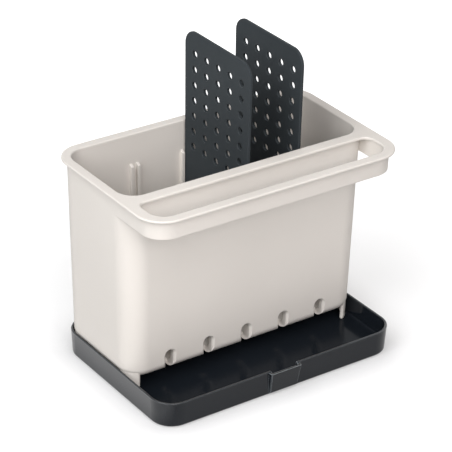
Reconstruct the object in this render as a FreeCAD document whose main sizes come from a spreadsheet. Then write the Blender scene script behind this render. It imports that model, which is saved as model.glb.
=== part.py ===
import FreeCAD, Part
import math
import os

import Sketcher

os.makedirs("parts", exist_ok=True)
doc = FreeCAD.newDocument("sink_caddy")

# Every size in millimetres. Shares are hand-chosen parts of one, counts are whole numbers.
sizes = {
    # Rim of the container, seen from above: a rolled lip round the box and the cloth rail.
    "rim_length": 190,
    "rim_depth": 117.6,
    "lip_reach": 3.5,
    "lip_height": 1.7,
    "lip_top_round": 0.9,
    "lip_under_round": 0.6,
    "window_round": 0.9,
    # Cloth rail: a skirt that hangs from the front of the rim, with the cloth slot behind it.
    "rail_height": 14.3,
    "rail_wall": 2.9,
    "rail_end_wall": 4.1,
    "cloth_gap": 23.4,
    "cloth_corner": 10.9,
    "cloth_back_corner": 6,
    "cloth_ledge": 0.5,
    "strip_reach": 3.7,
    # Box of the container: it narrows towards its underside.
    "container_height": 127.9,
    "wall": 3,
    "front_wall": 4.6,
    "floor_thickness": 3,
    "wall_corner": 15.5,
    "corner_taper": 1.5,
    "side_taper": 3.3,
    "back_taper": 3,
    "front_taper": 0.6,
    "bottom_round": 6,
    "floor_round": 4,
    # Guide ribs for the dividers, on the front and back walls.
    "guide_count": 3,
    "guide_pitch": 38.8,
    "guide_offset": 1.6,
    "guide_gap": 2.9,
    "rib_width": 2,
    "rib_reach": 2.6,
    "rib_drop": 20.6,
    "rib_lead": 1.6,
    # Drain slots through the foot of the front wall.
    "drain_count": 5,
    "drain_pitch": 29.2,
    "drain_width": 6.1,
    "drain_height": 13.7,
    "drain_sink": 0.6,
    "drain_depth": 9,
    "drain_flare": 1.3,
    "drain_flare_angle": 45,
    # Corner legs.
    "leg_height": 8.7,
    "leg_thickness": 2.5,
    "leg_inset": 0.5,
    "leg_side_angle": 10,
    "leg_end_angle": 60,
    "leg_taper": 0.8,
    "leg_tip_round": 1.1,
    "leg_root": 4.8,
    # Drip tray.
    "tray_length": 180.6,
    "tray_depth": 120.4,
    "tray_height": 17.6,
    "tray_wall": 1.5,
    "tray_taper": 1,
    "tray_corner": 15.5,
    "tray_edge_round": 1.5,
    "tray_floor_round": 1.5,
    "tray_rim_round": 0.5,
    "tray_recess": 2.3,
    "tray_floor": 2.2,
    "base_ring": 3,
    "tray_front_gap": 7.1,
    # Pouring spout in the tray's front wall.
    "spout_width": 23,
    "spout_foot_width": 21.6,
    "spout_reach": 3,
    "spout_foot_reach": 1.2,
    "spout_root": 0.9,
    "spout_wall": 1.5,
    "spout_bevel": 0.5,
    "spout_drop": 0.7,
    "spout_foot": 1.6,
    # Dividers.
    "plate_height": 113,
    "plate_thickness": 2,
    "plate_gap": 0.4,
    "plate_top_corner": 10,
    "plate_bottom_corner": 5,
    "plate_edge_round": 0.5,
    "plate_grip": 28,
    "hole_diameter": 5,
    "hole_columns": 5,
    "hole_rows": 7,
    "hole_side_margin": 8.7,
    "hole_row_pitch": 10.7,
    "hole_top_margin": 14.6,
    # Feet.
    "foot_diameter": 12,
    "foot_proud": 0.6,
    "foot_round": 0.5,
    "foot_gap": 0.15,
    "foot_ring_wall": 1.4,
    "foot_ring_height": 1.6,
    "foot_inset": 22,
    # How far a cut runs past the face it starts from.
    "overrun": 2,
}

sheet = doc.addObject("Spreadsheet::Sheet", "sizes")
for row, (name, value) in enumerate(sizes.items(), start=1):
    sheet.set(f"A{row}", name)
    sheet.set(f"B{row}", str(value))
    sheet.setAlias(f"B{row}", name)
doc.recompute()

# Two places closer than this are the same place.
same_place = 0.001


def number(text):
    """The value of an expression over the sheet."""
    return float(sheet.evalExpression(text))


def plane(body, role):
    return next(item for item in body.Origin.OriginFeatures if item.Role == role)


def new_sketch(body, name, role, height="0"):
    """A sketch on one of the body's own planes, moved along the plane's normal."""
    sketch = body.newObject("Sketcher::SketchObject", name)
    sketch.AttachmentSupport = (plane(body, role), [""])
    sketch.MapMode = "FlatFace"
    sketch.setExpression("AttachmentOffset.Base.z", height)
    return sketch


def bind(sketch, kind, *where, to):
    """A dimension that follows an expression over the sheet."""
    index = sketch.addConstraint(Sketcher.Constraint(kind, *where, number(to)))
    sketch.setExpression(f"Constraints[{index}]", to)


def place(sketch, shape, end, across=None, along=None):
    """Holds one end of a shape at its distances from the sketch's origin."""
    for kind, text in (("DistanceX", across), ("DistanceY", along)):
        if text is None:
            continue
        if number(text) < 0:
            bind(sketch, kind, shape, end, -1, 1, to=f"-({text})")
        else:
            bind(sketch, kind, -1, 1, shape, end, to=text)


def line(sketch, start, end):
    return sketch.addGeometry(Part.LineSegment(FreeCAD.Vector(*start, 0), FreeCAD.Vector(*end, 0)))


def arc(sketch, centre, radius, first, last):
    """An arc that runs anticlockwise between two angles in degrees."""
    circle = Part.Circle(FreeCAD.Vector(*centre, 0), FreeCAD.Vector(0, 0, 1), radius)
    return sketch.addGeometry(Part.ArcOfCircle(circle, math.radians(first), math.radians(last)))


def constrain(sketch, kind, *where):
    sketch.addConstraint(Sketcher.Constraint(kind, *where))


def polygon(sketch, corners):
    """A closed outline through corners given as pairs of expressions."""
    points = [(number(across), number(along)) for across, along in corners]
    sides = [line(sketch, points[index - 1], points[index]) for index in range(len(points))]
    for index, side in enumerate(sides):
        constrain(sketch, "Coincident", side, 1, sides[index - 1], 2)
        place(sketch, side, 2, *corners[index])


def rounded_rectangle(sketch, left, right, front, back, front_corner, back_corner):
    """A rectangle with rounded corners, its four sides given as signed expressions."""
    x0, x1, y0, y1 = number(left), number(right), number(front), number(back)
    a, b = number(front_corner), number(back_corner)
    front_side = line(sketch, (x0 + a, y0), (x1 - a, y0))
    right_side = line(sketch, (x1, y0 + a), (x1, y1 - b))
    back_side = line(sketch, (x1 - b, y1), (x0 + b, y1))
    left_side = line(sketch, (x0, y1 - b), (x0, y0 + a))
    front_right = arc(sketch, (x1 - a, y0 + a), a, 270, 360)
    back_right = arc(sketch, (x1 - b, y1 - b), b, 0, 90)
    back_left = arc(sketch, (x0 + b, y1 - b), b, 90, 180)
    front_left = arc(sketch, (x0 + a, y0 + a), a, 180, 270)
    order = [front_side, front_right, right_side, back_right, back_side, back_left, left_side, front_left]
    for index, shape in enumerate(order):
        constrain(sketch, "Tangent", order[index - 1], 2, shape, 1)
    constrain(sketch, "Horizontal", front_side)
    constrain(sketch, "Horizontal", back_side)
    constrain(sketch, "Vertical", right_side)
    constrain(sketch, "Vertical", left_side)
    constrain(sketch, "Equal", front_left, front_right)
    constrain(sketch, "Equal", back_left, back_right)
    bind(sketch, "Radius", front_right, to=front_corner)
    bind(sketch, "Radius", back_right, to=back_corner)
    place(sketch, front_side, 1, along=front)
    place(sketch, back_side, 1, along=back)
    place(sketch, right_side, 1, across=right)
    place(sketch, left_side, 1, across=left)


def outline(body, name, height, half, front, back, corner):
    """A level rounded rectangle, the same on its left and right."""
    sketch = new_sketch(body, name, "XY_Plane", height)
    rounded_rectangle(sketch, f"-({half})", half, front, back, corner, corner)
    return sketch


def loft(body, kind, name, lower, upper):
    feature = body.newObject(f"PartDesign::{kind}Loft", name)
    feature.Profile = lower
    feature.Sections = [upper]
    feature.Ruled = True
    doc.recompute()
    return feature


def extrude(body, kind, name, sketch, length, reverse=False, both_ways=False, taper="0"):
    """A Pad or a Pocket. A Pad runs along its sketch's normal, a Pocket against it."""
    feature = body.newObject(f"PartDesign::{kind}", name)
    feature.Profile = sketch
    feature.setExpression("Length", length)
    feature.setExpression("TaperAngle", taper)
    feature.Reversed = reverse
    if both_ways:
        feature.SideType = "Symmetric"
    doc.recompute()
    return feature


def row_of(body, name, originals, sketch, count, length):
    """Repeats features along the sketch's own horizontal axis, over a length."""
    feature = body.newObject("PartDesign::LinearPattern", name)
    feature.Originals = originals
    feature.Direction = (sketch, ["H_Axis"])
    feature.setExpression("Length", length)
    feature.setExpression("Occurrences", count)
    body.Tip = feature
    doc.recompute()
    return feature


def fillet(body, name, radius, wanted):
    """Rounds the edges of the body so far that pass a test."""
    base = body.Tip
    edges = [f"Edge{index}" for index, edge in enumerate(base.Shape.Edges, start=1) if wanted(edge)]
    feature = body.newObject("PartDesign::Fillet", name)
    feature.Base = (base, edges)
    feature.setExpression("Radius", radius)
    doc.recompute()
    return feature


def points(edge):
    """The two ends and the middle of an edge."""
    first, last = edge.ParameterRange
    return [edge.valueAt(first), edge.valueAt((first + last) / 2), edge.valueAt(last)]


def level(height):
    """A test for edges that lie flat at a height."""
    z = number(height)
    return lambda edge: all(abs(point.z - z) < same_place for point in points(edge))


def within(edge, left, right, front, back):
    """Whether an edge lies inside a rectangle seen from above."""
    x0, x1 = number(left) - same_place, number(right) + same_place
    y0, y1 = number(front) - same_place, number(back) + same_place
    return all(x0 < point.x < x1 and y0 < point.y < y1 for point in points(edge))


# Heights and places in the container's own frame: the tips of its legs are at zero
# and the middle of its rim is on the Z axis.
underside = "sizes.leg_height"
rim_top = "sizes.leg_height + sizes.container_height"
lip_bottom = "sizes.leg_height + sizes.container_height - sizes.lip_height"
rail_bottom = "sizes.leg_height + sizes.container_height - sizes.rail_height"
floor_top = "sizes.leg_height + sizes.floor_thickness"
rim_half = "sizes.rim_length / 2"
rim_back = "sizes.rim_depth / 2"
wall_half = "sizes.rim_length / 2 - sizes.lip_reach"
wall_back = "sizes.rim_depth / 2 - sizes.lip_reach"
slot_half = "sizes.rim_length / 2 - sizes.lip_reach - sizes.rail_end_wall"
slot_front = "-(sizes.rim_depth / 2 - sizes.lip_reach - sizes.rail_wall)"
slot_corner = "sizes.cloth_corner + sizes.cloth_ledge"
window_front = f"{slot_front} + sizes.cloth_ledge"
window_back = f"{window_front} + sizes.cloth_gap"
wall_front = f"{window_back} + sizes.strip_reach"


def narrowed(size, taper, depth):
    """A size of the box at a depth below the rim."""
    return f"{size} - sizes.{taper} * ({depth}) / sizes.container_height"


def box_corner(depth):
    return narrowed("sizes.wall_corner", "corner_taper", depth)


def front_face(depth):
    """Where the inside of the front wall is at a depth below the rim."""
    return f"{wall_front} + sizes.front_wall + sizes.front_taper * ({depth}) / sizes.container_height"


def back_face(depth):
    """Where the inside of the back wall is at a depth below the rim."""
    return f"{narrowed(wall_back, 'back_taper', depth)} - sizes.wall"


# The container is one moulding: lip, rail and drafted box are solid first, then hollowed.
container = doc.addObject("PartDesign::Body", "container")

lip_outline = outline(container, "lip_outline", lip_bottom, rim_half, f"-({rim_back})", rim_back,
                      "sizes.wall_corner + sizes.lip_reach")
extrude(container, "Pad", "lip", lip_outline, "sizes.lip_height")
fillet(container, "lip_rolled_top", "sizes.lip_top_round", level(rim_top))
fillet(container, "lip_rolled_under", "sizes.lip_under_round", level(lip_bottom))

# The rail's skirt and the top of the box share one outline under the lip.
rail_low = outline(container, "rail_low", rail_bottom,
                   narrowed(wall_half, "side_taper", "sizes.rail_height"),
                   f"-({narrowed(wall_back, 'back_taper', 'sizes.rail_height')})",
                   narrowed(wall_back, "back_taper", "sizes.rail_height"),
                   box_corner("sizes.rail_height"))
rail_high = outline(container, "rail_high", lip_bottom,
                    narrowed(wall_half, "side_taper", "sizes.lip_height"),
                    f"-({narrowed(wall_back, 'back_taper', 'sizes.lip_height')})",
                    narrowed(wall_back, "back_taper", "sizes.lip_height"),
                    box_corner("sizes.lip_height"))
loft(container, "Additive", "rail_block", rail_low, rail_high)

# The box below the rail narrows towards its rounded underside.
box_low = outline(container, "box_low", underside,
                  f"{wall_half} - sizes.side_taper",
                  f"{wall_front} + sizes.front_taper",
                  f"{wall_back} - sizes.back_taper",
                  "sizes.wall_corner - sizes.corner_taper")
box_high = outline(container, "box_high", rail_bottom,
                   narrowed(wall_half, "side_taper", "sizes.rail_height"),
                   wall_front,
                   narrowed(wall_back, "back_taper", "sizes.rail_height"),
                   box_corner("sizes.rail_height"))
loft(container, "Additive", "box_block", box_low, box_high)
fillet(container, "box_rounded_underside", "sizes.bottom_round", level(underside))

# The inside follows the outside at the wall's thickness, and the front wall is thicker.
floor_depth = "sizes.container_height - sizes.floor_thickness"
inside_low = outline(container, "inside_low", floor_top,
                     f"{narrowed(wall_half, 'side_taper', floor_depth)} - sizes.wall",
                     front_face(floor_depth),
                     back_face(floor_depth),
                     f"{box_corner(floor_depth)} - sizes.wall")
inside_high = outline(container, "inside_high", f"{rim_top} + sizes.overrun",
                      f"{narrowed(wall_half, 'side_taper', '-sizes.overrun')} - sizes.wall",
                      front_face("-sizes.overrun"),
                      back_face("-sizes.overrun"),
                      f"{box_corner('-sizes.overrun')} - sizes.wall")
loft(container, "Subtractive", "inside", inside_low, inside_high)
fillet(container, "inside_rounded_floor", "sizes.floor_round", level(floor_top))

# The cloth slot: a window through the lip, and a space behind the skirt that is wider by a ledge.
slot_window = new_sketch(container, "slot_window", "XY_Plane", f"{rim_top} + sizes.overrun")
window_half = f"{slot_half} - sizes.cloth_ledge"
rounded_rectangle(slot_window, f"-({window_half})", window_half, window_front, window_back,
                  "sizes.cloth_corner", "sizes.cloth_back_corner")
extrude(container, "Pocket", "slot_through_lip", slot_window, "sizes.lip_height + sizes.overrun * 2")

corner = box_corner("sizes.rail_height")
corner_x = f"{narrowed(wall_half, 'side_taper', 'sizes.rail_height')} - ({corner})"
x_arm, x_turn, y_front, y_back = number(slot_half), number(corner_x), number(slot_front), number(wall_front)
r_front, r_back = number(slot_corner), number(corner)
turn = math.degrees(math.acos((x_arm - x_turn) / r_back))
y_meet = y_back + r_back - r_back * math.sin(math.radians(turn))
slot_space = new_sketch(container, "slot_space", "XY_Plane", f"{rail_bottom} - sizes.overrun")
front_side = line(slot_space, (r_front - x_arm, y_front), (x_arm - r_front, y_front))
front_right = arc(slot_space, (x_arm - r_front, y_front + r_front), r_front, 270, 360)
right_side = line(slot_space, (x_arm, y_front + r_front), (x_arm, y_meet))
box_right = arc(slot_space, (x_turn, y_back + r_back), r_back, 270, 360 - turn)
back_side = line(slot_space, (x_turn, y_back), (-x_turn, y_back))
box_left = arc(slot_space, (-x_turn, y_back + r_back), r_back, 180 + turn, 270)
left_side = line(slot_space, (-x_arm, y_meet), (-x_arm, y_front + r_front))
front_left = arc(slot_space, (r_front - x_arm, y_front + r_front), r_front, 180, 270)
constrain(slot_space, "Tangent", front_side, 2, front_right, 1)
constrain(slot_space, "Tangent", front_right, 2, right_side, 1)
constrain(slot_space, "Coincident", right_side, 2, box_right, 2)
constrain(slot_space, "Tangent", box_right, 1, back_side, 1)
constrain(slot_space, "Tangent", back_side, 2, box_left, 2)
constrain(slot_space, "Coincident", box_left, 1, left_side, 1)
constrain(slot_space, "Tangent", left_side, 2, front_left, 1)
constrain(slot_space, "Tangent", front_left, 2, front_side, 1)
constrain(slot_space, "Horizontal", front_side)
constrain(slot_space, "Horizontal", back_side)
constrain(slot_space, "Vertical", right_side)
constrain(slot_space, "Vertical", left_side)
constrain(slot_space, "Equal", front_left, front_right)
constrain(slot_space, "Equal", box_left, box_right)
bind(slot_space, "Radius", front_right, to=slot_corner)
bind(slot_space, "Radius", box_right, to=corner)
place(slot_space, front_side, 1, along=slot_front)
place(slot_space, back_side, 1, across=corner_x, along=wall_front)
place(slot_space, back_side, 2, across=f"-({corner_x})")
place(slot_space, right_side, 1, across=slot_half)
place(slot_space, left_side, 1, across=f"-({slot_half})")
extrude(container, "Pocket", "slot_behind_skirt", slot_space,
        "sizes.rail_height - sizes.lip_height + sizes.overrun", reverse=True)

# Both windows of the rim have rounded edges.
inside_half = f"{wall_half} - sizes.wall"
inside_back = f"{wall_back} - sizes.wall"
at_rim = level(rim_top)
fillet(container, "windows_rounded", "sizes.window_round",
       lambda edge: at_rim(edge) and within(edge, f"-({inside_half})", inside_half, slot_front, inside_back))

# Guide ribs: pairs of upright ribs on both walls, parallel to the wall they stand on.
rib_top = f"{rim_top} - sizes.rib_drop"
rib_foot = f"{floor_top} - sizes.floor_thickness / 2"
foot_depth = "sizes.container_height - sizes.floor_thickness / 2"
back_low = back_face(foot_depth)
back_high = back_face("sizes.rib_drop")
front_low = front_face(foot_depth)
front_high = front_face("sizes.rib_drop")
first_guide = "sizes.guide_offset - sizes.guide_pitch * (sizes.guide_count - 1) / 2"
ribs = []
for side, shift in (("left", "-(sizes.guide_gap + sizes.rib_width) / 2"),
                    ("right", "(sizes.guide_gap + sizes.rib_width) / 2")):
    profile = new_sketch(container, f"ribs_{side}_profile", "YZ_Plane", f"{first_guide} + {shift}")
    polygon(profile, [
        (f"{back_low} - sizes.rib_reach", rib_foot),
        (f"{back_low} + sizes.wall / 2", rib_foot),
        (f"{back_high} + sizes.wall / 2", rib_top),
        (back_high, rib_top),
        (f"{back_high} - sizes.rib_reach", f"{rib_top} - sizes.rib_lead"),
    ])
    polygon(profile, [
        (f"{front_low} + sizes.rib_reach", rib_foot),
        (f"{front_low} - sizes.wall / 2", rib_foot),
        (f"{front_high} - sizes.wall / 2", rib_top),
        (front_high, rib_top),
        (f"{front_high} + sizes.rib_reach", f"{rib_top} - sizes.rib_lead"),
    ])
    ribs.append(extrude(container, "Pad", f"ribs_{side}", profile, "sizes.rib_width", both_ways=True))
rib_rows = container.newObject("PartDesign::LinearPattern", "rib_rows")
rib_rows.Originals = ribs
rib_rows.Direction = (plane(container, "X_Axis"), [""])
rib_rows.setExpression("Length", "sizes.guide_pitch * (sizes.guide_count - 1)")
rib_rows.setExpression("Occurrences", "sizes.guide_count")
container.Tip = rib_rows
doc.recompute()

# Drain slots with round ends run through the foot of the front wall, and break through the underside.
first_drain = "-sizes.drain_pitch * (sizes.drain_count - 1) / 2"
drain_low = f"{underside} - sizes.drain_sink + sizes.drain_width / 2"
drain_high = f"{underside} + sizes.drain_height - sizes.drain_width / 2"


def drain_outline(name, start, half):
    """A slot with round ends on an upright plane, at a distance in front of the middle."""
    x_mid, x_half = number(first_drain), number(half)
    z_low, z_high = number(drain_low), number(drain_high)
    sketch = new_sketch(container, name, "XZ_Plane", start)
    right_side = line(sketch, (x_mid + x_half, z_low), (x_mid + x_half, z_high))
    round_top = arc(sketch, (x_mid, z_high), x_half, 0, 180)
    left_side = line(sketch, (x_mid - x_half, z_high), (x_mid - x_half, z_low))
    round_foot = arc(sketch, (x_mid, z_low), x_half, 180, 360)
    constrain(sketch, "Tangent", right_side, 2, round_top, 1)
    constrain(sketch, "Tangent", round_top, 2, left_side, 1)
    constrain(sketch, "Tangent", left_side, 2, round_foot, 1)
    constrain(sketch, "Tangent", round_foot, 2, right_side, 1)
    constrain(sketch, "Vertical", right_side)
    bind(sketch, "Radius", round_top, to=half)
    place(sketch, round_top, 3, across=first_drain, along=drain_high)
    place(sketch, round_foot, 3, along=drain_low)
    return sketch


drain_profile = drain_outline("drain_profile", f"-({wall_front}) - sizes.drain_depth",
                              "sizes.drain_width / 2")
drain = extrude(container, "Pocket", "drain", drain_profile, "sizes.drain_depth + sizes.overrun",
                reverse=True)
# A slot's mouth flares in the outer face, which lies behind the rail's wall by the front's taper.
mouth_depth = "(sizes.drain_flare + sizes.front_taper)"
mouth_spread = f"{mouth_depth} * tan(sizes.drain_flare_angle * 1 deg)"
mouth_profile = drain_outline("mouth_profile", f"-({wall_front})",
                              f"sizes.drain_width / 2 + {mouth_spread}")
mouth = extrude(container, "Pocket", "drain_mouth", mouth_profile, mouth_depth,
                taper="-sizes.drain_flare_angle")
row_of(container, "drain_row", [drain, mouth], drain_profile, "sizes.drain_count",
       "sizes.drain_pitch * (sizes.drain_count - 1)")

# Corner legs: the corners of the box run on downwards as curved tabs, slimmer towards their tips.
leg_profile = new_sketch(container, "leg_profile", "XY_Plane")
low_corner = "sizes.wall_corner - sizes.corner_taper"
leg_x = f"{wall_half} - sizes.side_taper - ({low_corner})"
leg_outer = f"{low_corner} - sizes.leg_inset"
leg_inner = f"{leg_outer} - sizes.leg_thickness"
leg_middle = f"{leg_outer} - sizes.leg_thickness / 2"
front_leg_y = f"{wall_front} + sizes.front_taper + ({low_corner})"
back_leg_y = f"{wall_back} - sizes.back_taper - ({low_corner})"
for leg_y, first, last in ((front_leg_y, "-sizes.leg_end_angle", "-sizes.leg_side_angle"),
                           (back_leg_y, "sizes.leg_side_angle", "sizes.leg_end_angle")):
    x, y, middle = number(leg_x), number(leg_y), number(leg_middle)
    start, stop, cap = number(first), number(last), number("sizes.leg_thickness / 2")
    start_x, start_y = x + middle * math.cos(math.radians(start)), y + middle * math.sin(math.radians(start))
    stop_x, stop_y = x + middle * math.cos(math.radians(stop)), y + middle * math.sin(math.radians(stop))
    outer = arc(leg_profile, (x, y), number(leg_outer), start, stop)
    inner = arc(leg_profile, (x, y), number(leg_inner), start, stop)
    start_cap = arc(leg_profile, (start_x, start_y), cap, start + 180, start + 360)
    stop_cap = arc(leg_profile, (stop_x, stop_y), cap, stop, stop + 180)
    constrain(leg_profile, "Coincident", outer, 3, inner, 3)
    constrain(leg_profile, "Tangent", outer, 1, start_cap, 2)
    constrain(leg_profile, "Tangent", start_cap, 1, inner, 1)
    constrain(leg_profile, "Tangent", outer, 2, stop_cap, 1)
    constrain(leg_profile, "Tangent", stop_cap, 2, inner, 2)
    bind(leg_profile, "Radius", outer, to=leg_outer)
    bind(leg_profile, "Radius", inner, to=leg_inner)
    place(leg_profile, outer, 3, across=leg_x, along=leg_y)
    place(leg_profile, start_cap, 3, along=f"{leg_y} + ({leg_middle}) * sin({first} * 1 deg)")
    place(leg_profile, stop_cap, 3, along=f"{leg_y} + ({leg_middle}) * sin({last} * 1 deg)")
leg = extrude(container, "Pad", "leg", leg_profile, "sizes.leg_height + sizes.leg_root",
              taper="sizes.leg_taper")
legs = container.newObject("PartDesign::Mirrored", "legs")
legs.Originals = [leg]
legs.MirrorPlane = (plane(container, "YZ_Plane"), [""])
container.Tip = legs
doc.recompute()
fillet(container, "legs_rounded", "sizes.leg_tip_round", level("0"))

# The drip tray: a shallow drafted dish on a base ring, deeper than the box so that its front is open.
tray_half = "sizes.tray_length / 2"
tray_back = "sizes.tray_depth / 2"
tray_floor_top = "sizes.tray_recess + sizes.tray_floor"
tray = doc.addObject("PartDesign::Body", "drip_tray")


def tray_outline(name, height, inset, taper_share):
    """The tray's outline at a height, set in from its rim by an inset and a share of its taper."""
    drawn_in = f"{inset} + sizes.tray_taper * ({taper_share})"
    return outline(tray, name, height, f"{tray_half} - ({drawn_in})", f"-({tray_back} - ({drawn_in}))",
                   f"{tray_back} - ({drawn_in})", f"sizes.tray_corner - ({drawn_in})")


tray_draft = "atan(sizes.tray_taper / sizes.tray_height)"
tray_low = tray_outline("tray_low", "0", "0", "1")
extrude(tray, "Pad", "tray_block", tray_low, "sizes.tray_height", taper=tray_draft)
fillet(tray, "tray_rounded_edge", "sizes.tray_edge_round", level("0"))

# The spout: a panel that leans out of the front wall and widens towards its lip.
spout_top = "sizes.tray_height - sizes.spout_drop"
wall_inset = "sizes.tray_taper * (1 - sizes.spout_foot / sizes.tray_height)"
spout_foot = f"-({tray_back} - {wall_inset}) - sizes.spout_foot_reach"
spout_lip = f"-({tray_back}) - sizes.spout_reach"
wall_inside = f"-({tray_back} - sizes.tray_taper - sizes.tray_wall)"


def spout_section(name, height, width, front):
    """A level section of the spout: its front corners are bevelled, and its cheeks spread at the wall."""
    sketch = new_sketch(tray, name, "XY_Plane", height)
    half = f"{width} / 2"
    polygon(sketch, [
        (f"-{half}", f"{front} + sizes.spout_bevel"),
        (f"sizes.spout_bevel - {half}", front),
        (f"{half} - sizes.spout_bevel", front),
        (half, f"{front} + sizes.spout_bevel"),
        (f"{half} + sizes.spout_root", wall_inside),
        (f"-{half} - sizes.spout_root", wall_inside),
    ])
    return sketch


spout_low = spout_section("spout_low", "sizes.spout_foot", "sizes.spout_foot_width", spout_foot)
spout_high = spout_section("spout_high", spout_top, "sizes.spout_width", spout_lip)
loft(tray, "Additive", "spout", spout_low, spout_high)

tray_inside = tray_outline("tray_inside_outline", tray_floor_top, "sizes.tray_wall",
                           f"1 - ({tray_floor_top}) / sizes.tray_height")
extrude(tray, "Pocket", "tray_inside", tray_inside,
        f"sizes.tray_height - ({tray_floor_top}) + sizes.overrun", reverse=True, taper=tray_draft)
fillet(tray, "tray_rounded_floor", "sizes.tray_floor_round", level(tray_floor_top))

# The spout's channel follows its panel at the thickness of its wall.
spout_rise = f"({spout_top} - sizes.spout_foot)"
channel_rise = f"({spout_top} + sizes.overrun - sizes.spout_foot)"
lean = f"(({spout_foot}) - ({spout_lip})) / {spout_rise}"
spread = f"(sizes.spout_width - sizes.spout_foot_width) / {spout_rise}"


def channel_section(name, height, rise):
    """A level section of the channel, at a rise above the spout's foot."""
    sketch = new_sketch(tray, name, "XY_Plane", height)
    half = f"((sizes.spout_foot_width + {spread} * {rise}) / 2 - sizes.spout_wall)"
    front = f"{spout_foot} - {lean} * {rise} + sizes.spout_wall"
    back = f"{wall_inside} + sizes.overrun"
    polygon(sketch, [(f"-{half}", front), (half, front), (half, back), (f"-{half}", back)])
    return sketch


channel_low = channel_section("channel_low", tray_floor_top, f"({tray_floor_top} - sizes.spout_foot)")
channel_high = channel_section("channel_high", f"{spout_top} + sizes.overrun", channel_rise)
loft(tray, "Subtractive", "channel", channel_low, channel_high)

# The underside is hollow inside a base ring, and four rings hold the feet.
recess_outline = tray_outline("recess_outline", "0", "sizes.base_ring", "1")
extrude(tray, "Pocket", "recess", recess_outline, "sizes.tray_recess", reverse=True)
foot_x = f"{tray_half} - sizes.foot_inset"
foot_y = f"{tray_back} - sizes.foot_inset"
ring_inner = "sizes.foot_diameter / 2 + sizes.foot_gap"
ring_outer = f"{ring_inner} + sizes.foot_ring_wall"
ring_profile = new_sketch(tray, "ring_profile", "XY_Plane", "sizes.tray_recess - sizes.foot_ring_height")
for side in ("", "-"):
    for end in ("", "-"):
        for radius in (ring_inner, ring_outer):
            circle = Part.Circle(FreeCAD.Vector(number(f"{side}({foot_x})"), number(f"{end}({foot_y})"), 0),
                                 FreeCAD.Vector(0, 0, 1), number(radius))
            ring = ring_profile.addGeometry(circle)
            bind(ring_profile, "Radius", ring, to=radius)
            place(ring_profile, ring, 3, across=f"{side}({foot_x})", along=f"{end}({foot_y})")
extrude(tray, "Pad", "foot_rings", ring_profile, "sizes.foot_ring_height")
fillet(tray, "tray_rounded_rim", "sizes.tray_rim_round", level("sizes.tray_height"))

# A divider is a perforated plate whose edges follow the slopes of both walls, at a gap,
# when it stands on the container's floor.
plate_depth = f"{floor_depth} - sizes.plate_height"
plate_front_low = f"{front_face(floor_depth)} + sizes.plate_gap"
plate_front_high = f"{front_face(plate_depth)} + sizes.plate_gap"
plate_back_low = f"{back_face(floor_depth)} - sizes.plate_gap"
plate_back_high = f"{back_face(plate_depth)} - sizes.plate_gap"
plate_middle = f"(({plate_front_low}) + ({plate_back_low})) / 2"
hole_span = f"(({plate_back_low}) - ({plate_front_low}) - sizes.hole_side_margin * 2)"


def divider(name):
    """A plate with rounded corners and edges, and a grid of round holes."""
    body = doc.addObject("PartDesign::Body", name)
    profile = new_sketch(body, f"{name}_profile", "YZ_Plane")
    polygon(profile, [
        (plate_front_low, "0"),
        (plate_back_low, "0"),
        (plate_back_high, "sizes.plate_height"),
        (plate_front_high, "sizes.plate_height"),
    ])
    extrude(body, "Pad", f"{name}_plate", profile, "sizes.plate_thickness", both_ways=True)
    at_top, at_bottom = level("sizes.plate_height"), level("0")
    fillet(body, f"{name}_top_corners", "sizes.plate_top_corner",
           lambda edge: at_top(edge) and edge.BoundBox.YLength < same_place)
    fillet(body, f"{name}_bottom_corners", "sizes.plate_bottom_corner",
           lambda edge: at_bottom(edge) and edge.BoundBox.YLength < same_place)
    fillet(body, f"{name}_edge", "sizes.plate_edge_round", lambda edge: edge.BoundBox.XLength < same_place)
    hole_profile = new_sketch(body, f"{name}_hole_profile", "YZ_Plane")
    hole_y = f"{plate_middle} - {hole_span} / 2"
    hole_z = "sizes.plate_height - sizes.hole_top_margin - sizes.hole_row_pitch * (sizes.hole_rows - 1)"
    circle = Part.Circle(FreeCAD.Vector(number(hole_y), number(hole_z), 0), FreeCAD.Vector(0, 0, 1),
                         number("sizes.hole_diameter / 2"))
    hole_edge = hole_profile.addGeometry(circle)
    bind(hole_profile, "Radius", hole_edge, to="sizes.hole_diameter / 2")
    place(hole_profile, hole_edge, 3, across=hole_y, along=hole_z)
    hole = extrude(body, "Pocket", f"{name}_hole", hole_profile, "sizes.plate_thickness + sizes.overrun",
                   both_ways=True)
    grid = body.newObject("PartDesign::LinearPattern", f"{name}_holes")
    grid.Originals = [hole]
    grid.Direction = (hole_profile, ["H_Axis"])
    grid.setExpression("Length", hole_span)
    grid.setExpression("Occurrences", "sizes.hole_columns")
    grid.Direction2 = (hole_profile, ["V_Axis"])
    grid.setExpression("Length2", "sizes.hole_row_pitch * (sizes.hole_rows - 1)")
    grid.setExpression("Occurrences2", "sizes.hole_rows")
    body.Tip = grid
    doc.recompute()
    return body


divider_left = divider("divider_left")
divider_right = divider("divider_right")


def foot(name):
    """A soft round foot, pressed into its ring against the tray's underside."""
    body = doc.addObject("PartDesign::Body", name)
    profile = new_sketch(body, f"{name}_profile", "XY_Plane")
    circle = Part.Circle(FreeCAD.Vector(0, 0, 0), FreeCAD.Vector(0, 0, 1), number("sizes.foot_diameter / 2"))
    edge = profile.addGeometry(circle)
    bind(profile, "Radius", edge, to="sizes.foot_diameter / 2")
    constrain(profile, "Coincident", edge, 3, -1, 1)
    extrude(body, "Pad", f"{name}_pad", profile, "sizes.foot_proud + sizes.tray_recess")
    fillet(body, f"{name}_edge", "sizes.foot_round", level("0"))
    return body


feet = {
    "foot_front_left": ("-", "-"),
    "foot_front_right": ("", "-"),
    "foot_back_left": ("-", ""),
    "foot_back_right": ("", ""),
}

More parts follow.
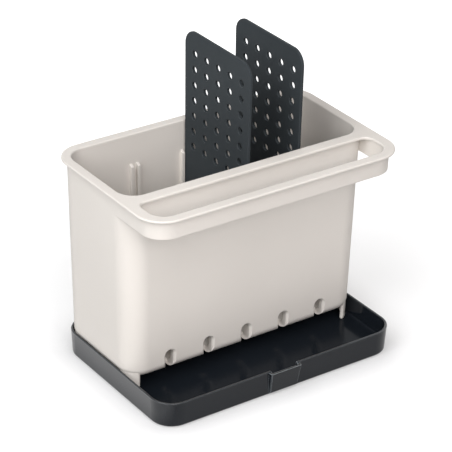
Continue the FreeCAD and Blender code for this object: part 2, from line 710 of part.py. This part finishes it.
# The assembly stands on its feet. The middle of its whole depth is at zero:
# the spout's lip is in front, the rim's back edge behind.
whole_depth = "(sizes.rim_depth + sizes.tray_front_gap + sizes.spout_reach)"
container_y = f"{whole_depth} / 2 - sizes.rim_depth / 2"
tray_y = f"-{whole_depth} / 2 + sizes.spout_reach + sizes.tray_depth / 2"
container_z = "sizes.foot_proud + sizes.tray_recess + sizes.tray_floor"


def stand(body, across, along, up):
    """Puts a body at its place in the assembly."""
    body.Label = body.Name
    for axis, text in (("x", across), ("y", along), ("z", up)):
        body.setExpression(f"Placement.Base.{axis}", text)


stand(container, "0", container_y, container_z)
stand(tray, "0", tray_y, "sizes.foot_proud")
# A raised divider keeps a grip in its guides, which lean back half as much as the two walls differ.
plate_lift = f"({rib_top} - ({floor_top}) - sizes.plate_grip)"
drift = f"{plate_lift} * (sizes.back_taper - sizes.front_taper) / 2 / sizes.container_height"
plate_y = f"{container_y} + {drift}"
plate_z = f"{container_z} + {floor_top} + {plate_lift}"
stand(divider_left, "sizes.guide_offset", plate_y, plate_z)
stand(divider_right, "sizes.guide_offset + sizes.guide_pitch", plate_y, plate_z)
bodies = [container, tray, divider_left, divider_right]
for name, (side, end) in feet.items():
    body = foot(name)
    stand(body, f"{side}({foot_x})", f"{tray_y} + {end}({foot_y})", "0")
    bodies.append(body)
doc.recompute()

faults = [item.Name for item in doc.Objects if "Invalid" in item.State or "Error" in item.State]
faults += [body.Label for body in bodies if body.Shape.isNull() or not body.Shape.isValid()]
faults += [body.Label for body in bodies if len(body.Shape.Solids) != 1]
if faults:
    raise RuntimeError("faulty: " + ", ".join(faults))
for body in bodies:
    body.Shape.exportStep(f"parts/{body.Label}.step")
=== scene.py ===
import math

import bmesh
import bpy
from mathutils import Euler, Matrix, Vector

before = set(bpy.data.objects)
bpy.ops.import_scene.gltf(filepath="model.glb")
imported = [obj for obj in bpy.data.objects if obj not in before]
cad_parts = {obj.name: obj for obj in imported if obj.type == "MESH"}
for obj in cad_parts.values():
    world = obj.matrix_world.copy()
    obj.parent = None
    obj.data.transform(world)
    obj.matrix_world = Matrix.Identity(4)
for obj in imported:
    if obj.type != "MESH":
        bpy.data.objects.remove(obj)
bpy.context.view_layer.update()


# Drip tray: a shallow dish with a pouring spout, injection moulded in dark grey plastic. Its walls and
# rim are polished and its floor is duller. Everything else stands in it, and its four feet are pressed
# into its underside.
mm = 0.001


def tone(red, green, blue):
    """A colour as it looks on a screen, 0 to 255, in the linear values that a shader takes."""
    parts = [value / 255 for value in (red, green, blue)]
    return (*(v / 12.92 if v <= 0.04045 else ((v + 0.055) / 1.055) ** 2.4 for v in parts), 1)


def add_node(tree, kind, at, **values):
    """A node at a place in its tree, with the values of its named input sockets."""
    node = tree.nodes.new(kind)
    node.location = at
    for socket, value in values.items():
        node.inputs[socket.replace("_", " ")].default_value = value
    return node


def combine(tree, at, operation, first, second):
    """Two values that other nodes put out, made one by a Math node: their product, or the larger."""
    node = add_node(tree, "ShaderNodeMath", at)
    node.operation = operation
    tree.links.new(first, node.inputs[0])
    tree.links.new(second, node.inputs[1])
    return node.outputs["Value"]


def noise(tree, at, source, scale, detail, rough=0.5):
    """Noise over the piece's own coordinates, with the scale in features to the metre."""
    node = add_node(tree, "ShaderNodeTexNoise", at, Scale=scale, Detail=detail, Roughness=rough)
    tree.links.new(source, node.inputs["Vector"])
    return node.outputs["Fac"]


def remap(tree, at, source, low, high, to_low, to_high):
    """Spreads a value from one range to another, and holds it there."""
    node = add_node(tree, "ShaderNodeMapRange", at, From_Min=low, From_Max=high,
                    To_Min=to_low, To_Max=to_high)
    tree.links.new(source, node.inputs["Value"])
    return node.outputs["Result"]


def new_group(name, inputs, outputs):
    """An empty shader node group with named values in and out, and the nodes at its two ends."""
    group = bpy.data.node_groups.new(name, "ShaderNodeTree")
    for socket in inputs:
        group.interface.new_socket(socket, in_out="INPUT", socket_type="NodeSocketFloat")
    for socket, kind in outputs.items():
        group.interface.new_socket(socket, in_out="OUTPUT", socket_type=kind)
    start = add_node(group, "NodeGroupInput", (-900, 0))
    end = add_node(group, "NodeGroupOutput", (600, 0))
    return group, start, end


skin_outputs = dict.fromkeys(("Height", "Sheen", "Tint"), "NodeSocketFloat")
moulded_skin, skin_in, skin_out = new_group("moulded_skin", ("Grain", "Grain Share"), skin_outputs)
waves_per_metre = 26
patches_per_metre = 45
clouds_per_metre = 11
noise_low = 0.3
noise_high = 0.7
skin_place = add_node(moulded_skin, "ShaderNodeTexCoord", (-900, -200)).outputs["Object"]
grain_noise = add_node(moulded_skin, "ShaderNodeTexNoise", (-650, 250), Detail=3, Roughness=0.6)
moulded_skin.links.new(skin_place, grain_noise.inputs["Vector"])
moulded_skin.links.new(skin_in.outputs["Grain"], grain_noise.inputs["Scale"])
waves = noise(moulded_skin, (-650, 0), skin_place, waves_per_metre, 1)
skin_height = add_node(moulded_skin, "ShaderNodeMix", (-300, 150))
moulded_skin.links.new(skin_in.outputs["Grain Share"], skin_height.inputs["Factor"])
moulded_skin.links.new(waves, skin_height.inputs["A"])
moulded_skin.links.new(grain_noise.outputs["Fac"], skin_height.inputs["B"])
moulded_skin.links.new(skin_height.outputs["Result"], skin_out.inputs["Height"])
patches = noise(moulded_skin, (-650, -250), skin_place, patches_per_metre, 4, 0.65)
sheen = remap(moulded_skin, (-300, -150), patches, noise_low, noise_high, 0, 1)
moulded_skin.links.new(sheen, skin_out.inputs["Sheen"])
clouds = noise(moulded_skin, (-650, -500), skin_place, clouds_per_metre, 2)
tint = remap(moulded_skin, (-300, -400), clouds, noise_low, noise_high, 0, 1)
moulded_skin.links.new(tint, skin_out.inputs["Tint"])

# Painted edge highlight: a lighter tone on convex edges that face open space, where rounded edges catch
# the light. The Bevel normal also rounds the shading of those edges.
edge_outputs = {"Highlight": "NodeSocketFloat", "Normal": "NodeSocketVector"}
painted_edge_highlight, edge_in, edge_out = new_group("painted_edge_highlight", ("Radius",), edge_outputs)
edge_samples = 6
turn_begins = 0.995
turn_full = 0.92
shut_in = 0.7
open_out = 0.95
rounding = add_node(painted_edge_highlight, "ShaderNodeBevel", (-550, -100))
rounding.samples = edge_samples
painted_edge_highlight.links.new(edge_in.outputs["Radius"], rounding.inputs["Radius"])
painted_edge_highlight.links.new(rounding.outputs["Normal"], edge_out.inputs["Normal"])
face = add_node(painted_edge_highlight, "ShaderNodeNewGeometry", (-550, 200))
turn = add_node(painted_edge_highlight, "ShaderNodeVectorMath", (-300, 50))
turn.operation = "DOT_PRODUCT"
painted_edge_highlight.links.new(rounding.outputs["Normal"], turn.inputs[0])
painted_edge_highlight.links.new(face.outputs["Normal"], turn.inputs[1])
open_side = add_node(painted_edge_highlight, "ShaderNodeAmbientOcclusion", (-300, -250))
open_side.samples = edge_samples
painted_edge_highlight.links.new(edge_in.outputs["Radius"], open_side.inputs["Distance"])
bent = remap(painted_edge_highlight, (0, 100), turn.outputs["Value"], turn_begins, turn_full, 0, 1)
outward = remap(painted_edge_highlight, (0, -250), open_side.outputs["AO"], shut_in, open_out, 0, 1)
painted_edge_highlight.links.new(combine(painted_edge_highlight, (300, 0), "MULTIPLY", bent, outward), edge_out.inputs["Highlight"])


def place_group(tree, group, at, **values):
    """A node group at a place in a material's tree, with the values of its inputs."""
    node = tree.nodes.new("ShaderNodeGroup")
    node.node_tree = group
    node.location = at
    for socket, value in values.items():
        node.inputs[socket.replace("_", " ")].default_value = value
    return node


def blend(tree, at, mask, first, second):
    """A mix of two colours by a mask. A colour is given as a value or as another node's output."""
    node = add_node(tree, "ShaderNodeMix", at)
    node.data_type = "RGBA"
    tree.links.new(mask, node.inputs["Factor"])
    for socket, colour in zip([item for item in node.inputs if item.type == "RGBA"], (first, second)):
        if isinstance(colour, tuple):
            socket.default_value = colour
        else:
            tree.links.new(colour, socket)
    return next(item for item in node.outputs if item.type == "RGBA")


def plastic(name, dark, light, highlight_tone, smooth, rough, gloss, grain, grain_share, depth, edge):
    """A moulded plastic: two close tones, a lighter tone painted on convex edges as a highlight, a patchy
    sheen and a fine skin.
    """
    material = bpy.data.materials.new(name)
    material.use_nodes = True
    tree = material.node_tree
    shader = tree.nodes["Principled BSDF"]
    shader.inputs["Specular IOR Level"].default_value = gloss
    skin = place_group(tree, moulded_skin, (-1000, 100), Grain=grain, Grain_Share=grain_share)
    edges = place_group(tree, painted_edge_highlight, (-1000, -200), Radius=edge)
    tones = blend(tree, (-700, 300), skin.outputs["Tint"], dark, light)
    colour = blend(tree, (-450, 300), edges.outputs["Highlight"], tones, highlight_tone)
    tree.links.new(colour, shader.inputs["Base Color"])
    roughness = remap(tree, (-450, 0), skin.outputs["Sheen"], 0, 1, smooth, rough)
    tree.links.new(roughness, shader.inputs["Roughness"])
    bump = add_node(tree, "ShaderNodeBump", (-450, -300), Strength=0.5, Distance=depth)
    tree.links.new(skin.outputs["Height"], bump.inputs["Height"])
    tree.links.new(edges.outputs["Normal"], bump.inputs["Normal"])
    tree.links.new(bump.outputs["Normal"], shader.inputs["Normal"])
    return material


def dress(node, material):
    """Gives a CAD node's surface its material."""
    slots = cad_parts[node].material_slots
    for slot in slots:
        slot.material = material
    if not slots:
        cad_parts[node].data.materials.append(material)


tray_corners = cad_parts["drip_tray"].bound_box
tray_top = max(corner[2] for corner in tray_corners)
rim_begins = tray_top - 2.2 * mm
rim_full = tray_top - 0.7 * mm
wall_slope = 0.3
floor_slope = 0.8
wall_gloss = 0.55
rim_gloss = 0.8
# The pale edge tone of the tray is a painted highlight along its rounded edges.
tray_plastic = plastic("tray_plastic", dark=tone(21, 25, 30), light=tone(25, 29, 34),
                       highlight_tone=tone(150, 158, 162), smooth=0.1, rough=0.17, gloss=0.07, grain=1400,
                       grain_share=0.3, depth=0.04 * mm, edge=0.5 * mm)
tray_tree = tray_plastic.node_tree
tray_shader = tray_tree.nodes["Principled BSDF"]
tray_shader.inputs["Coat Roughness"].default_value = 0.12
tray_spots = add_node(tray_tree, "ShaderNodeTexCoord", (-1200, -600))
tray_upward = add_node(tray_tree, "ShaderNodeSeparateXYZ", (-1000, -500))
tray_tree.links.new(tray_spots.outputs["Normal"], tray_upward.inputs["Vector"])
tray_height = add_node(tray_tree, "ShaderNodeSeparateXYZ", (-1000, -700))
tray_tree.links.new(tray_spots.outputs["Object"], tray_height.inputs["Vector"])
on_walls = remap(tray_tree, (-750, -500), tray_upward.outputs["Z"], wall_slope, floor_slope, wall_gloss, 0)
on_rim = remap(tray_tree, (-750, -750), tray_height.outputs["Z"], rim_begins, rim_full, 0, rim_gloss)
polish = combine(tray_tree, (-450, -600), "MAXIMUM", on_walls, on_rim)
tray_tree.links.new(polish, tray_shader.inputs["Coat Weight"])
dress("drip_tray", tray_plastic)


# Feet: four soft round pads in dark rubber, pressed into rings under the tray so that it
# doesn't slide on a wet worktop.
# The lighter edge tone of the feet is a painted highlight.
foot_rubber = plastic("foot_rubber", dark=tone(46, 46, 47), light=tone(56, 56, 57),
                      highlight_tone=tone(66, 66, 67), smooth=0.75, rough=0.9, gloss=0.5, grain=2200,
                      grain_share=0.7, depth=0.1 * mm, edge=0.4 * mm)
for node in ("foot_front_left", "foot_front_right", "foot_back_left", "foot_back_right"):
    dress(node, foot_rubber)


# Container: one moulding with a rolled lip, a cloth rail in front, guide ribs inside, drain slots and
# four corner legs that stand in the tray. Warm light grey plastic with a satin finish.
# The lighter edge tone of the container is a painted highlight on its rim and rounded edges.
container_plastic = plastic("container_plastic", dark=tone(220, 215, 208), light=tone(226, 221, 214),
                            highlight_tone=tone(228, 223, 217), smooth=0.5, rough=0.6, gloss=0.35, grain=1800,
                            grain_share=0.4, depth=0.05 * mm, edge=0.5 * mm)
dress("container", container_plastic)


# Dividers: two perforated plates that slide in the container's guide ribs and lift out for
# washing. Dark grey plastic with a fine matt skin.
# The lighter edge tone of the dividers is a painted highlight on their edges.
divider_plastic = plastic("divider_plastic", dark=tone(52, 57, 60), light=tone(56, 61, 64),
                          highlight_tone=tone(86, 91, 94), smooth=0.45, rough=0.55, gloss=0.06, grain=2000,
                          grain_share=0.5, depth=0.05 * mm, edge=0.3 * mm)
for node in ("divider_left", "divider_right"):
    dress(node, divider_plastic)


# Floor: a pale matt studio table under the caddy. Away from the caddy its glow lifts it to white. The glow
# is lower where the tray stands close, a painted contact shadow, and higher on the left, in view and in
# gloss, as painted light from the left, where most of the light comes from.
floor_half = 3
floor_bm = bmesh.new()
bmesh.ops.create_grid(floor_bm, x_segments=1, y_segments=1, size=floor_half)
floor_mesh = bpy.data.meshes.new("studio_floor")
floor_bm.to_mesh(floor_mesh)
floor_bm.free()
floor = bpy.data.objects.new("studio_floor", floor_mesh)
bpy.context.scene.collection.objects.link(floor)


def seen_rays(tree, at):
    """One for rays that show what is behind the object: from the camera, or by gloss or through glass."""
    rays = add_node(tree, "ShaderNodeLightPath", at)
    total = rays.outputs["Is Camera Ray"]
    for step, name in enumerate(("Is Glossy Ray", "Is Transmission Ray"), start=1):
        total = combine(tree, (at[0] + 200 * step, at[1]), "MAXIMUM", total, rays.outputs[name])
    return total


white = tone(255, 255, 255)
near_reach = 0.12
far_reach = 0.5
near_lift = 0.55
far_lift = 1
contact_reach = 40 * mm
contact_samples = 8
contact_shut = 0.4
contact_lift = 0.25
tray_left = min(corner[0] for corner in tray_corners)
left_far = tray_left - 69.7 * mm
left_near = tray_left + 0.3 * mm
left_near_lift = 0.3
gloss_left = tray_left - 9.7 * mm
gloss_right = tray_left + 5.3 * mm
gloss_right_lift = 0.15

floor_paint = bpy.data.materials.new("floor_paint")
floor_paint.use_nodes = True
floor_tree = floor_paint.node_tree
floor_tree.nodes.remove(floor_tree.nodes["Principled BSDF"])
floor_matt = add_node(floor_tree, "ShaderNodeBsdfDiffuse", (-200, 200), Color=tone(196, 196, 196))
floor_glow = add_node(floor_tree, "ShaderNodeEmission", (-200, 0), Color=white)
floor_place = add_node(floor_tree, "ShaderNodeTexCoord", (-1400, -300)).outputs["Object"]
floor_far = add_node(floor_tree, "ShaderNodeVectorMath", (-1200, -200))
floor_far.operation = "LENGTH"
floor_tree.links.new(floor_place, floor_far.inputs[0])
floor_side = add_node(floor_tree, "ShaderNodeSeparateXYZ", (-1200, -500))
floor_tree.links.new(floor_place, floor_side.inputs["Vector"])
# Painted contact shadow: the glow drops towards a quarter where the AO node finds the tray close.
floor_near = add_node(floor_tree, "ShaderNodeAmbientOcclusion", (-1000, 0), Distance=contact_reach)
floor_near.samples = contact_samples
from_middle = floor_far.outputs["Value"]
around = remap(floor_tree, (-1000, -200), from_middle, near_reach, far_reach, near_lift, far_lift)
painted_contact_shadow = remap(floor_tree, (-800, 0), floor_near.outputs["AO"], contact_shut, 1, contact_lift, 1)
along = floor_side.outputs["X"]
# Painted light on the left: the glow seen by the camera rises left of the tray, and the glow seen in gloss
# is full left of the tray and faint from its left wall rightwards, so the tray's left wall reflects a
# brighter floor.
painted_left_light = remap(floor_tree, (-1000, -750), along, left_far, left_near, 1, left_near_lift)
painted_left_reflection = remap(floor_tree, (-1000, -500), along, gloss_left, gloss_right, 1, gloss_right_lift)
open_floor = combine(floor_tree, (-650, -100), "MULTIPLY", painted_contact_shadow, around)
floor_lift = add_node(floor_tree, "ShaderNodeMix", (-500, 0))
floor_rays = add_node(floor_tree, "ShaderNodeLightPath", (-1000, 200))
floor_tree.links.new(floor_rays.outputs["Is Glossy Ray"], floor_lift.inputs["Factor"])
by_eye = combine(floor_tree, (-600, -300), "MAXIMUM", open_floor, painted_left_light)
floor_tree.links.new(by_eye, floor_lift.inputs["A"])
floor_tree.links.new(painted_left_reflection, floor_lift.inputs["B"])
floor_seen = seen_rays(floor_tree, (-1000, 500))
floor_share = combine(floor_tree, (-350, 0), "MULTIPLY", floor_seen, floor_lift.outputs["Result"])
floor_tree.links.new(floor_share, floor_glow.inputs["Strength"])
floor_sum = add_node(floor_tree, "ShaderNodeAddShader", (50, 100))
floor_tree.links.new(floor_matt.outputs["BSDF"], floor_sum.inputs[0])
floor_tree.links.new(floor_glow.outputs["Emission"], floor_sum.inputs[1])
floor_tree.links.new(floor_sum.outputs["Shader"], floor_tree.nodes["Material Output"].inputs["Surface"])
floor.data.materials.append(floor_paint)


# Studio light: a white surround that shows behind the caddy and in its gloss but hardly lights it, two
# large soft lamps on the left, two nearer ones in front, and weaker ones on the right and at the back.
surround_share = 0.03
world = bpy.data.worlds.new("studio")
bpy.context.scene.world = world
world.use_nodes = True
world_tree = world.node_tree
surround = world_tree.nodes["Background"]
surround.inputs["Color"].default_value = white
surround_strength = remap(world_tree, (-200, 0), seen_rays(world_tree, (-900, 0)), 0, 1, surround_share, 1)
world_tree.links.new(surround_strength, surround.inputs["Strength"])


lamp_aim = (0, 0, 0.09)


def soft_lamp(name, at, size, power, colour):
    """A square soft lamp that faces the middle of the container."""
    light = bpy.data.lights.new(name, "AREA")
    light.shape = "SQUARE"
    light.size = size
    light.energy = power
    light.color = colour
    lamp = bpy.data.objects.new(name, light)
    lamp.location = at
    lamp.rotation_euler = (Vector(lamp_aim) - Vector(at)).to_track_quat("-Z", "Y").to_euler()
    bpy.context.scene.collection.objects.link(lamp)


cool = (0.98, 0.985, 1)
rosy = (1, 0.97, 0.975)
warm = (1, 0.98, 0.97)
pale_warm = (1, 0.99, 0.98)
soft_lamp("left_lamp", (-1.5, -0.5, 1.1), 1.2, 18.5, cool)
soft_lamp("high_lamp", (-1.1, 0.1, 1.6), 1.2, 12, cool)
soft_lamp("front_high_lamp", (-0.2, -0.75, 0.85), 0.7, 4.9, rosy)
soft_lamp("front_lamp", (-0.35, -0.9, 0.55), 0.6, 3.6, rosy)
soft_lamp("right_lamp", (1.6, -0.2, 0.9), 1.2, 7, warm)
soft_lamp("back_lamp", (0.5, 1.8, 0.45), 0.8, 6, pale_warm)


# Camera: a long lens from the front left that looks down on the rim, with the place, heading,
# tilt and roll at which the edges of the caddy fall where the photograph shows them.
image_side = 452
focal_pixels = 2157.88
camera_at = (-0.70038, -0.97462, 0.73959)
heading = 0.61996
tilt = 0.49564
roll = -0.02751
camera_data = bpy.data.cameras.new("camera")
camera_data.sensor_width = 36
camera_data.lens = focal_pixels * camera_data.sensor_width / image_side
camera = bpy.data.objects.new("camera", camera_data)
turned = Euler((math.pi / 2 - tilt, 0, -heading)).to_matrix() @ Matrix.Rotation(-roll, 3, "Z")
camera.matrix_world = Matrix.Translation(camera_at) @ turned.to_4x4()
bpy.context.scene.collection.objects.link(camera)
bpy.context.scene.camera = camera
bpy.context.scene.view_settings.view_transform = "Standard"
